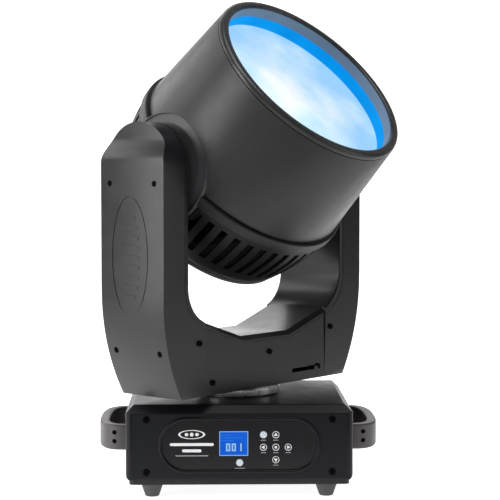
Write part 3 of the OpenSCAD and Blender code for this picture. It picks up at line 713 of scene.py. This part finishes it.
def make_display():
    """A lit screen with a thin frame, a three-digit number and three faint lines."""
    (x0, x1), (z0, z1) = WINDOW_X, WINDOW_Z
    y = -SCREEN_FACE

    def on_screen(x, z, far_x, far_z, proud=0.2):
        return block((x, y - proud, z), (far_x, y + 0.3, far_z))

    screen = block((x0, y, z0), (x1, -HALF_D + 8, z1))
    piece("display_screen", soften(screen, (0.2, 1, None)), "base", "lcd_glow", "display")
    edge = on_screen(x0 + 0.2, z0 + 0.2, x1 - 0.2, z1 - 0.2, 0.3)
    edge = cut(edge, block((x0 + 0.9, y - 2, z0 + 0.9), (x1 - 0.9, y + 2, z1 - 0.9)))
    digits = []
    for i, character in enumerate("001"):
        x, z = x0 + 8 + i * 6.8, z0 + 5.6
        digits += [on_screen(x + a0, z + b0, x + a1, z + b1) for a0, b0, a1, b1 in digit(character, 9.2)]
    piece("display_digits", smooth(joined(edge, *digits)), "base", "lcd_light")
    lines = [on_screen(x0 + 2, z, x0 + 2 + wide, z + 0.9, 0.1)
             for z, wide in ((z1 - 5, 12), (z1 - 8.4, 26), (z1 - 11.6, 15))]
    piece("display_lines", smooth(joined(*lines)), "base", "lcd_faint")


def make_marks():
    """A plain oval with three dots, plain bars under it, and a small bar under each button."""
    oval = lathe([(7.3, 0), (8.6, 0), (8.6, 0.3), (7.3, 0.3)], 64)
    oval = turned(moved(oval, Matrix.Diagonal((1.85, 0.62, 1, 1))), 90, "X")
    marks = [shift(oval, MARKS_X, -PANEL_FACE + 0.12, EMBLEM_Z)]
    marks += [bar(MARKS_X + 6.2 * i, EMBLEM_Z, 2.2, 2.3 - 0.5 * abs(i)) for i in (-1, 0, 1)]
    marks += [bar(MARKS_X, 48.5, 26, 1.7), bar(MARKS_X, 41, 11.5, 1.7)]
    piece("panel_marks", smooth(joined(*marks)), "base", "ink_white")
    small = [bar(MARKS_X, 35, 19.5, 0.6)]
    for name in BUTTONS:
        low, high = box_mm(name)
        small.append(bar((low.x + high.x) / 2, low.z - 1.6, 6 if "display" in name else 3.2, 0.45))
    piece("panel_captions", smooth(joined(*small)), "base", "ink_grey")


def d_curve(out, half, steps=72):
    """The round side of a D: a superellipse that starts and ends on the case."""
    points = []
    for i in range(steps + 1):
        t = math.radians(-90 + 180 * i / steps)
        s, c = math.sin(t), abs(math.cos(t))
        points.append((HALF_W + out * c ** (2 / 3), half * math.copysign(abs(s) ** (2 / 3), s)))
    return points


def make_handles():
    """Two D-shaped bands, each with two screw holes through either end."""
    low, high = box_mm("handle_right")
    out = high.x - HALF_W
    for side, name in ((1, "handle_right"), (-1, "handle_left")):
        band = prism(d_curve(out, high.y), "z", low.z, high.z)
        inner = [(a - 1, b) if abs(a - HALF_W) < 0.01 else (a, b)
                 for a, b in d_curve(out - GRIP_T, high.y - GRIP_T)]
        band = cut(band, prism(inner, "z", low.z - 5, high.z + 5))
        for end in (-1, 1):
            for share in (0.35, 0.7):
                at = (HALF_W + 15, low.z + share * (high.z - low.z))
                band = cut(band, rod("y", 2.8, *sorted((end * 71, end * 95)), at, 24))
        band = soften(band, (2.6, 4, lambda p: abs(p.z - low.z) < 0.1 or abs(p.z - high.z) < 0.1))
        if side < 0:
            band = moved(band, Matrix.Diagonal((-1, 1, 1, 1)))
        piece(name + "_grip", band, "base", "handle_plastic", name)


def make_feet():
    """Four tapered feet down to the floor."""
    high = box_mm("rubber_feet")[1]
    drop, top_r = -FLOOR_Z / MM, 13.7
    outline = [(0, -drop), (7.6, -drop), (8.5, -drop + 0.9), (10.2, -drop * 0.62), (12.4, -drop * 0.2),
               (top_r - 0.1, -0.8), (top_r, 0), (0, 0)]
    feet = [shift(lathe(outline, 64), sx * (high.x - top_r), sy * (high.y - top_r))
            for sx in (-1, 1) for sy in (-1, 1)]
    piece("feet", smooth(joined(*feet)), "base", "foot_rubber", "rubber_feet")


# ---------------- yoke
def side_x(z):
    """Where an arm's outer face is at a height."""
    return YOKE_HALF - (BELLY_R - math.sqrt(BELLY_R ** 2 - (BELLY_Z - z) ** 2) if z < BELLY_Z else 0)


SEAM_ANGLE = -math.degrees(math.acos((SEAM_X - CORNER_X) / CORNER_R))


def arm_outline(inward, inset, reach):
    """An arm seen from the front: outer face moved inward, other faces inset, ends longer by reach."""
    low, high = YOKE_Z + inset - reach, ARM_TOP - inset + reach
    heights = [low + (BELLY_Z - low) * i / 36 for i in range(37)]
    outer = [(side_x(z) - inward, z) for z in heights]
    for i in range(13):
        t = i / 12
        outer.append((YOKE_HALF - inward - SHOULDER_IN * t * t * (3 - 2 * t),
                      SHOULDER_LOW + t * (SHOULDER_HIGH - SHOULDER_LOW)))
    outer.append((YOKE_HALF - inward - SHOULDER_IN, high))
    inner = arc(CORNER_X, CORNER_Z, CORNER_R + inset, 0, SEAM_ANGLE, 24)
    return [(SEAM_X, low)] + outer + [(YOKE_GAP + inset, high)] + inner


def arm_side(inset):
    """An arm seen from the side, with its round top."""
    half = ARM_HALF - inset
    low = YOKE_Z + inset
    foot = BRIDGE_HALF - inset
    centre = ARM_TOP - ARM_HALF
    return [(-foot, low), (foot, low), (half, 240)] + arc(0, centre, half, 0, 180, 64) + [(-half, 240)]


def inner_path(offset):
    """A line that follows the arm's inner edge at an offset, from above its top round the inner corner."""
    corner = arc(CORNER_X, CORNER_Z, CORNER_R + offset, 0, SEAM_ANGLE - 12, 24)
    return [(YOKE_GAP + offset, ARM_TOP + 5)] + corner


def rounded_edge(p):
    """True on the edges of an arm's inner face, inner corner and arch."""
    x = abs(p.x)
    if p.z > ARM_TOP - ARM_HALF and x < YOKE_GAP + 0.5 and abs(p.y) > 1:
        return True
    if x < SEAM_X + 0.4 or p.z < CORNER_Z - CORNER_R - 4 or abs(p.y) < BRIDGE_HALF - 2:
        return False
    if p.z > CORNER_Z:
        return x < YOKE_GAP + 0.5
    return math.hypot(x - CORNER_X, p.z - CORNER_Z) < CORNER_R + 0.5


def arm_parts():
    """The right arm's outer cover and inner shell."""
    whole = common(prism(arm_outline(0, 0, 0), "y", -PAST_Y, PAST_Y),
                   prism(arm_side(0), "x", SEAM_X - 5, PAST_X))
    skin_inside = prism(arm_outline(LIP_T, 0, 6), "y", -PAST_Y - 10, PAST_Y + 10)
    inset = WALL + 0.2
    plug = common(prism(arm_outline(0, inset, 0), "y", -PAST_Y, PAST_Y),
                  prism(arm_side(inset), "x", SEAM_X, PAST_X))
    plug = cut(plug, prism(arm_outline(COVER_T, 0, 6), "y", -PAST_Y - 10, PAST_Y + 10))
    cover = combined(cut(whole.copy(), skin_inside.copy()), common(plug, whole.copy()), "UNION")
    shell = common(whole, skin_inside)
    hollow = common(prism(arm_outline(0, WALL, 0), "y", -PAST_Y, PAST_Y),
                    prism(arm_side(WALL), "x", SEAM_X + 8, PAST_X))
    shell = cut(shell, hollow, rod("x", HUB_HOLE, YOKE_GAP - 10, YOKE_GAP + 15, (0, TILT_Z), 96))
    line = inner_path(RIM_W) + inner_path(RIM_W + RIM_LINE)[::-1]
    groove = cut(prism(line, "y", -PAST_Y - 10, PAST_Y + 10), prism(arm_side(0.6), "x", 90, 230))
    return cover, cut(shell, groove)


def badge_ring(width, depth):
    """A cutter for the oval line round the badge."""
    half_y, half_z = BADGE_HALF
    turns = [2 * math.pi * i / 96 for i in range(96)]
    outline = [(half_y * math.cos(turn), half_z * math.sin(turn)) for turn in turns]
    inner = [(a * (half_y - width) / half_y, b * (half_z - width) / half_z) for a, b in outline]
    ring = cut(prism(outline, "x", YOKE_HALF - depth, YOKE_HALF + 4),
               prism(inner, "x", YOKE_HALF - depth - 1, YOKE_HALF + 5))
    return shift(ring, 0, BADGE_Y, BADGE_Z)


def badge_marks():
    """Nine plain raised bars inside the oval, longer towards its middle."""
    bars = []
    for i in range(-4, 5):
        half = 15 * math.sqrt(1 - (i / 5.2) ** 2)
        outline = rounded([(-half, -2.4, 2.2), (half, 0.4, 2.2), (half, 5.2, 2.2), (-half, 2.4, 2.2)], 4)
        mark = prism(outline, "x", YOKE_HALF - 1.5, YOKE_HALF + 0.45)
        bars.append(shift(mark, 0, BADGE_Y, BADGE_Z + i * 11.5 - 1.4))
    return joined(*bars)


def make_arms():
    """Both arms; the right shell also has the tilt lock's slot."""
    cover, shell = arm_parts()
    for y, z in COVER_SCREWS:
        for s in (-1, 1):
            hole = rod("x", COVER_SCREW_R, side_x(z) - COVER_SINK, side_x(z) + 20, (s * y, z), 32)
            cover = cut(cover, hole)
    cover = cut(cover, badge_ring(width=1.6, depth=0.7))
    slotted = cut(shell.copy(), block(*TILT_LOCK_SLOT))
    for side, name in ((1, "right"), (-1, "left")):
        mirror = Matrix.Diagonal((side, 1, 1, 1))
        skin = soften(moved(cover.copy(), mirror), (0.9, 3, None))
        piece("arm_cover_" + name + "_skin", skin, "yoke", "cover_plastic", "arm_cover_" + name)
        body = moved(slotted if side > 0 else shell, mirror)
        body = soften(body, (3.2, 2, rounded_edge), (0.35, 2, None))
        piece("arm_shell_" + name + "_skin", body, "yoke", "yoke_plastic", "arm_shell_" + name)
        marks = soften(moved(badge_marks(), mirror), (0.35, 2, None))
        piece("arm_badge_" + name, marks, "yoke", "cover_plastic")


def bridge_outline(drop, lift):
    """The crossbar seen from the front, with its top lower by drop and its underside higher by lift."""
    right = [(SEAM_X, YOKE_Z + lift)]
    right += [(a, b - drop) for a, b in arc(CORNER_X, CORNER_Z, CORNER_R, SEAM_ANGLE, -CORNER_END, 4)]
    right += [(BRIDGE_FLAT, BRIDGE_Z - drop)]
    return right + [(-a, b) for a, b in reversed(right)]


def bridge_rim(offset):
    """A line under the top of the crossbar at an offset."""
    right = arc(CORNER_X, CORNER_Z, CORNER_R + offset, SEAM_ANGLE + 8, -CORNER_END, 6)
    right.append((BRIDGE_FLAT + 0.12 * offset, BRIDGE_Z - offset))
    return right + [(-a, b) for a, b in reversed(right)]


def make_bridge():
    """The hollow crossbar in two halves; the front one has the pan lock's slot."""
    flat, edge = bridge_outline(0, 0), bridge_outline(BRIDGE_CHAMFER, 0)
    deep = BRIDGE_HALF - BRIDGE_CHAMFER
    whole = loft([edge, flat, flat, edge], "y", [-BRIDGE_HALF, -deep, deep, BRIDGE_HALF])
    hollow = common(prism(bridge_outline(WALL, WALL), "y", -BRIDGE_HALF + WALL, BRIDGE_HALF - WALL),
                    block((-SEAM_X + 3, -60, 0), (SEAM_X - 3, 60, 300)))
    whole = cut(whole, rod("z", NECK_HOLE, YOKE_Z - 5, YOKE_Z + 6, steps=96), hollow)
    for side, name in ((-1, "bridge_front_cover"), (1, "bridge_rear_cover")):
        low, high = sorted((side * 0.02, side * 80))
        half = common(whole.copy(), block((-150, low, 0), (150, high, 300)))
        if side < 0:
            half = cut(half, block(*PAN_LOCK_SLOT))
        for at in BRIDGE_SCREWS:
            low, high = sorted((side * (BRIDGE_HALF - 1.4), side * (BRIDGE_HALF + 5)))
            half = cut(half, rod("y", BRIDGE_SCREW_R, low, high, at, 32))
        low, high = sorted((side * (BRIDGE_HALF - 0.6), side * (BRIDGE_HALF + 5)))
        half = cut(half, prism(bridge_rim(RIM_W) + bridge_rim(RIM_W + RIM_LINE)[::-1], "y", low, high))
        half = soften(half, (0.35, 2, None), sharp_deg=25)
        piece(name + "_skin", half, "yoke", "yoke_plastic", name)


def make_turret():
    """The hollow spindle and the flange that carries the yoke."""
    bore, spindle, flange, spigot = 36, 44, 52, 40
    foot, shelf, top = 58, 96.5, YOKE_Z + 3
    outline = rounded([(bore, foot, 0), (spindle, foot, 0), (spindle, shelf, 0), (flange, shelf, 1),
                       (flange, YOKE_Z - 2, 2), (flange - 3, YOKE_Z, 1), (spigot, YOKE_Z, 0),
                       (spigot, top, 0), (bore, top, 0)])
    # The turret's light grey finish is a painted highlight.
    piece("turret_skin", smooth(lathe(outline, 128)), "yoke", "turret_plastic", "yoke_turret")


# ---------------- head
def barrel_at(length):
    """Outer radius of the tapered barrel."""
    return BARREL_R + (RIM_R - BARREL_R) * (length - COLLAR_L[1]) / (RIM_L - COLLAR_L[1])


def pad_room(mesh, radius, start):
    """Cuts a round hole along the tilt axis on both sides, from start outwards."""
    for low, high in ((start, 200), (-200, -start)):
        mesh = cut(mesh, rod("x", radius, low, high, steps=128))
    return mesh


def make_barrel():
    """The tapered tube, with a ledge for the lens and a short wall inside it round each side pad."""
    front, seat, ledge_r, ledge_l = barrel_at(BEZEL_L), barrel_at(LENS_L) - WALL, 113, 118
    outline = rounded([(BARREL_R - WALL, BARREL_L, 0), (BARREL_R, BARREL_L, 1.4), (front, BEZEL_L, 0.5),
                       (front - WALL, BEZEL_L, 0), (seat, LENS_L, 0), (ledge_r, LENS_L, 0),
                       (ledge_r, ledge_l, 0), (barrel_at(ledge_l) - WALL, ledge_l, 0)], 4)
    skin = lathe(outline, 192)
    low, high = BARREL_L + 0.6, 110
    core = lathe([(0, low), (barrel_at(low) - 1, low), (barrel_at(high) - 1, high), (0, high)], 192)
    for start, end in ((PAD_IN, 150), (-150, -PAD_IN)):
        wall = common(rod("x", PAD_R + 1.6, start, end, steps=128), core.copy())
        skin = combined(skin, wall, "UNION")
    skin = pad_room(skin, PAD_R + 0.05, 90)
    piece("barrel_skin", smooth(skin, 30), "head", "barrel_plastic", "barrel")


def make_bezel():
    """The rounded front ring, and the lighter lining of its mouth."""
    back, seat_r = 143.2, 124
    outline = rounded([(MOUTH_R, back, 0), (MOUTH_R, RIM_L, 2.6), (RIM_R - 0.85, RIM_L, 4.2),
                       (barrel_at(BEZEL_L) + 0.2, BEZEL_L + 0.7, 0.6), (seat_r, BEZEL_L + 0.3, 0),
                       (seat_r, back, 0)], 7)
    # The bezel's colour, lighter than the barrel's, is a painted highlight on the rim.
    piece("bezel_skin", smooth(lathe(outline, 192), 40), "head", "bezel_plastic_painted_highlight", "front_bezel")
    inner, outer, front = MOUTH_R - 0.15, MOUTH_R + 1, RIM_L - 3.2
    liner = lathe([(inner, back), (outer, back), (outer, front), (inner, front)], 192)
    piece("bezel_liner", smooth(liner, 40), "head", "liner_plastic")


def make_light_ring():
    """The lit ring round the lens, with six shallow grooves inside."""
    back, front, inner, outer = 128.2, 143, MOUTH_R + 0.4, 125.5
    outline = [(inner, back)]
    for i in range(6):
        low = back + (front - back) * i / 6
        outline += [(inner, low + 0.4), (inner + 0.6, low + 1.2), (inner, low + 2.2)]
    outline += [(inner, front), (outer, front), (outer, back)]
    piece("light_ring_glow", smooth(lathe(outline, 160), 50), "head", "ring_glow", "light_ring")


def make_lens():
    """Fresnel face: shallow saw-tooth rings round a small plain middle."""
    face = LENS_L + LENS_T
    outline = [(0, LENS_L), (LENS_R, LENS_L), (LENS_R, face)]
    pitch, depth, plain = 3.0, 0.7, 9.0
    radius = LENS_R - pitch
    while radius - pitch > plain:
        outline += [(radius, face), (radius - pitch + 0.15, face - depth)]
        radius -= pitch
    outline += [(radius, face), (radius * 0.5, face), (0, face)]
    piece("lens_face", smooth(lathe(outline, 160), 10), "head", "lens_glass", "fresnel_lens")


def make_head_frame():
    """The collar with its bulkhead, and the two round side pads, each a shallow cup with a thin rim."""
    seat_r, core_r, (back, front) = 139, 46, COLLAR_L
    ring = lathe(rounded([(seat_r, back, 0), (COLLAR_R, back, 1.2), (COLLAR_R, front, 1.6),
                          (seat_r, front, 0)], 4), 192)
    ring = pad_room(pad_room(ring, PAD_R + 1, PAD_X), PAD_R - 0.2, PAD_IN)
    bulkhead = lathe([(core_r, 0), (seat_r + 0.2, 0), (seat_r + 0.2, back + 0.6), (core_r, back + 0.6)], 128)
    bulkhead = pad_room(bulkhead, PAD_R - 0.2, PAD_IN)
    floor, inner = PAD_X - 2 * WALL, PAD_R - WALL
    cup = lathe(rounded([(0, floor, 0), (inner, floor, 0), (inner, PAD_IN, 0), (PAD_R, PAD_IN, 0),
                         (PAD_R, PAD_X, 0.5), (PAD_R - 1.2, PAD_X, 0.4), (PAD_R - 1.8, PAD_X - 2.4, 0.3),
                         (PAD_R - 12, PAD_X, 4), (40, PAD_X, 0.4), (39.4, PAD_X - 1, 0.4),
                         (0, PAD_X - 1, 0)], 6), 160)
    right = turned(cup, 90, "Y")
    left = turned(cup.copy(), 180, "Z")
    piece("head_frame_skin", smooth(joined(ring, bulkhead), 32), "head", "collar_plastic", "head_frame")
    # The pads' lighter finish is painted light.
    piece("head_pads", smooth(joined(right, left), 32), "head", "pad_plastic_painted_light")


def basket_radius(length):
    """Outer radius of the vented rear, a smooth shoulder from the collar to the rear plate."""
    t = max(0.0, min(1.0, (COLLAR_L[0] - length) / (COLLAR_L[0] - REAR_L)))
    return SHOULDER_R - (SHOULDER_R - REAR_R) * t ** 1.7


def make_basket():
    """A grid round the axis, left open at the slots, then given its thickness."""
    pitch, slot, slot_low, slot_high, vented_deg, end_in = 7.5, 0.48, -57, -2.5, 63, 2.2
    rows = [REAR_L, -74, -68, -62, slot_low, -50, -42, -34, -26, -18, -10, slot_high, 1, COLLAR_L[0]]
    shares = (-slot / 2, -slot / 6, slot / 6, slot / 2, 0.5 - 0.13, 0.5 + 0.13)
    angles = sorted((i + share) * pitch for i in range(int(360 / pitch)) for share in shares)
    count = len(angles)
    vertices = []
    for length in rows:
        radius = basket_radius(length) - (end_in if length == REAR_L else 0)
        vertices += [(radius * math.cos(a), radius * math.sin(a), length) for a in map(math.radians, angles)]
    faces = []
    for r in range(len(rows) - 1):
        for k in range(count):
            n = (k + 1) % count
            middle = (angles[k] + angles[n] + (0 if n else 360)) / 2
            off = (middle / pitch + 0.5) % 1 - 0.5
            open_row = rows[r] >= slot_low and rows[r + 1] <= slot_high
            if open_row and abs(off) < slot / 2 and abs(middle % 180 - 90) < vented_deg:
                continue
            faces.append((r * count + k, r * count + n, (r + 1) * count + n, (r + 1) * count + k))
    sheet = tidy(build(vertices, faces), flat_deg=0)

    def set_up(holder):
        skin = holder.modifiers.new("skin", "SOLIDIFY")
        skin.thickness = 4.0
        skin.offset = -1
    sheet = evaluated(sheet, set_up)
    sheet = pad_room(tidy(sheet, flat_deg=0), PAD_R + 0.5, 90)
    piece("basket_skin", smooth(sheet, 32), "head", "basket_plastic", "rear_basket")


def make_hubs():
    """The two flanged shafts on which the head tilts."""
    bore, shaft, flange, end = 12, 18, 36, 168
    outline = rounded([(bore, PAD_X, 0), (flange, PAD_X, 0), (flange, 139, 1.5), (flange - 3, 141, 1),
                       (shaft, 141, 0), (shaft, end, 0.6), (bore, end, 0)], 4)
    hubs = [turned(lathe(outline, 128), turn, "Y") for turn in (90, -90)]
    piece("tilt_hubs_skin", smooth(joined(*hubs)), "head", "hub_alloy", "tilt_hubs")


# ---------------- CAD nodes that stay, with better materials
KEPT = {
    "plate_steel": ("base_plate",),
    # The screws' near-black, dull finish is partly painted shade in their recesses.
    "black_screw_painted_shade": ("base_screws", "yoke_screws"),
    "circuit": ("display_board", "main_board"),
    "sheet_metal": ("power_supply",),
    "motor_steel": ("pan_motor", "tilt_motor", "zoom_motor"),
    "alloy": ("pan_motor_pulley", "pan_pulley", "tilt_motor_pulley", "zoom_carriage", "tilt_pulley"),
    "belt_rubber": ("pan_belt", "tilt_belt"),
    "bearing_steel": ("pan_bearing", "tilt_bearings"),
    "socket_blue": ("power_sockets",),
    "socket_nickel": ("data_sockets",),
    "frame_steel": ("yoke_frame",),
    "lever_plastic": ("pan_lock", "tilt_lock"),
    "lens_glass": ("zoom_lens",),
    "bright_steel": ("guide_rods", "zoom_screw"),
    "led_copper": ("led_engine",),
    "sink_black": ("heat_sink",),
    "cap_metal": ("rear_cap",),
    "fan_plastic": ("fan_frame", "fan_rotor"),
}


def finish_kept_nodes():
    """Gives these nodes their finish and a fine bevel."""
    for finish, names in KEPT.items():
        for name in names:
            thing = frame["nodes"][name]
            thing.data.materials.clear()
            thing.data.materials.append(MATERIALS[finish])
            bevel = thing.modifiers.new("edges", "BEVEL")
            bevel.width = 0.0003
            bevel.segments = 2
            bevel.limit_method = "ANGLE"
            bevel.angle_limit = math.radians(40)


# ---------------- studio
def make_camera():
    data = bpy.data.cameras.new("camera")
    data.lens = 112.36
    data.sensor_width = 36
    data.clip_end = 50
    camera = bpy.data.objects.new("camera", data)
    camera.location = (-0.03206, -1.94308, 0.39541 + FLOOR_Z)
    camera.rotation_euler = (math.radians(86.847), 0, math.radians(-1.391))
    SCENE.collection.objects.link(camera)
    SCENE.camera = camera


# Each light: its name, place, target and size in metres, and its power in watts.
LIGHTS = [
    ("key_left", (-1.61, -0.77, 0.62), (-0.1, 0, 0.35), (0.8, 1.2), 19),
    ("side_left", (-1.74, 0.44, 1.25), (-0.1, 0, 0.35), (1.0, 1.0), 8),
    ("rim_left", (-1.3, 1.3, 0.9), (-0.1, 0, 0.35), (0.75, 1.3), 7),
    ("top", (0.1, -0.2, 2.1), (0, 0, 0.3), (1.3, 0.9), 8),
    ("front_top", (0, -0.85, 1.95), (0, -0.13, 0.08), (1.4, 0.5), 11),
    ("side_right", (1.7, -0.3, 0.8), (0.1, 0, 0.4), (0.6, 1.4), 3.5),
]


def area_light(name, place, target, size, power):
    data = bpy.data.lights.new(name, "AREA")
    data.shape = "RECTANGLE"
    data.size, data.size_y = size
    data.energy = power
    lamp = bpy.data.objects.new(name, data)
    lamp.location = place
    lamp.rotation_euler = (Vector(target) - Vector(place)).to_track_quat("-Z", "Y").to_euler()
    SCENE.collection.objects.link(lamp)


def floor_material():
    """White floor that glows round and behind the object and less towards the sides and the front."""
    n = Nodes(surface((0.9, 0.9, 0.9), 0.7, 300, 10, 0.01, 3))
    place = n.add("SeparateXYZ")
    n.link(n.place, place.inputs["Vector"])
    across, along = n.math("ABSOLUTE", place.outputs["X"]), place.outputs["Y"]
    ahead = n.mapped(along, -0.42, -0.28, 0.0, 0.9)
    sides = n.mapped(n.math("MULTIPLY_ADD", along, -0.17, across), 0.42, 0.9, 1.0, 0.1)
    far_ahead = n.mapped(along, -1.5, -0.8, 0.4, 0.0)
    n.link(n.math("MULTIPLY_ADD", ahead, sides, far_ahead), n.shader.inputs["Emission Strength"])
    n.set(Emission_Color=(1, 1, 1, 1))
    return n.material


def make_studio():
    """A floor that curves up behind the object, a dim sky and the lights."""
    profile = [(-4, 0)] + arc(1.6, 1, 1, -90, 0, 16) + [(2.6, 4)]
    vertices = [(x, y, FLOOR_Z + z) for x in (-5, 5) for y, z in profile]
    count = len(profile)
    faces = [(i, i + 1, count + i + 1, count + i) for i in range(count - 1)]
    mesh = smooth(build(vertices, faces), 60)
    mesh.materials.append(floor_material())
    floor = bpy.data.objects.new("studio_floor", mesh)
    SCENE.collection.objects.link(floor)
    world = bpy.data.worlds.new("studio")
    world.use_nodes = True
    sky = world.node_tree.nodes["Background"]
    sky.inputs["Color"].default_value = (0.9, 0.95, 1, 1)
    sky.inputs["Strength"].default_value = 0.06
    SCENE.world = world
    for light in LIGHTS:
        area_light(*light)
    SCENE.view_settings.view_transform = "Standard"


make_camera()
make_studio()
make_base_case()
make_panel()
make_display()
make_marks()
make_buttons()
make_handles()
make_feet()
make_arms()
make_bridge()
make_turret()
make_barrel()
make_bezel()
make_light_ring()
make_lens()
make_head_frame()
make_basket()
make_hubs()
finish_kept_nodes()
